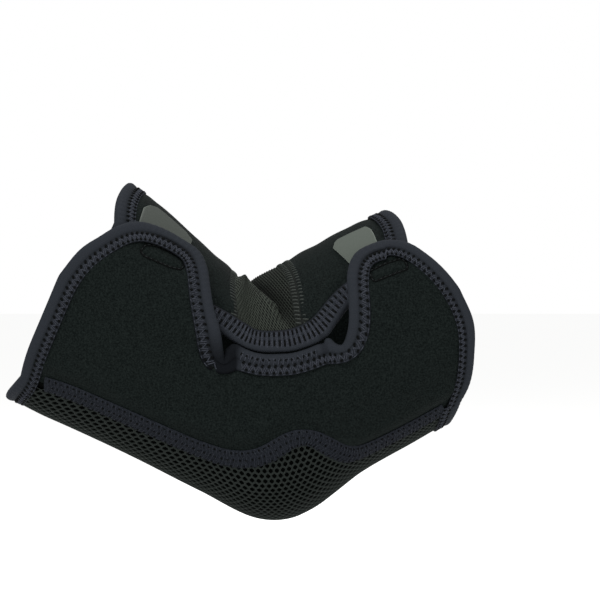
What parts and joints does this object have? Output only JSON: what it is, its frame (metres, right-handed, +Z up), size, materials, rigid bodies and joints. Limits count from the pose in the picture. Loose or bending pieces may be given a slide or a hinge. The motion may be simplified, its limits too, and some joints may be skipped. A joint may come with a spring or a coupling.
{
  "type": "elbow brace",
  "caption": "Wrap elbow brace of neoprene with bound edges, a spacer mesh back and a ribbed knit crook, closed by wings with hook tabs, bent as worn.",
  "frame": {"origin": "middle of the elbow joint inside the brace, where the arm holds it", "axes": "+X towards the forearm cuff, +Z up towards the crook, -Y towards the side where the wings close"},
  "size_m": [0.1945, 0.096, 0.1403],
  "materials": {
    "neoprene": "matt jersey face on foam",
    "mesh": "open spacer mesh",
    "knit": "ribbed elastic knit",
    "hook_tab": "satin",
    "binding": "matt folded tape",
    "seam": "matt flat sewn seam"
  },
  "bodies": {
    "root": {"side_panel": "neoprene", "far_panel": "neoprene", "knit_insert": "knit", "mesh_panel": "mesh", "upper_tab": "hook_tab", "forearm_tab": "hook_tab", "upper_wing_binding": "binding", "forearm_wing_binding": "binding", "upper_cuff_binding": "binding", "forearm_cuff_binding": "binding", "front_edge_binding": "binding", "near_mesh_seam": "seam", "far_mesh_seam": "seam", "knit_upper_seam": "seam", "knit_forearm_seam": "seam"}
  },
  "joints": []
}
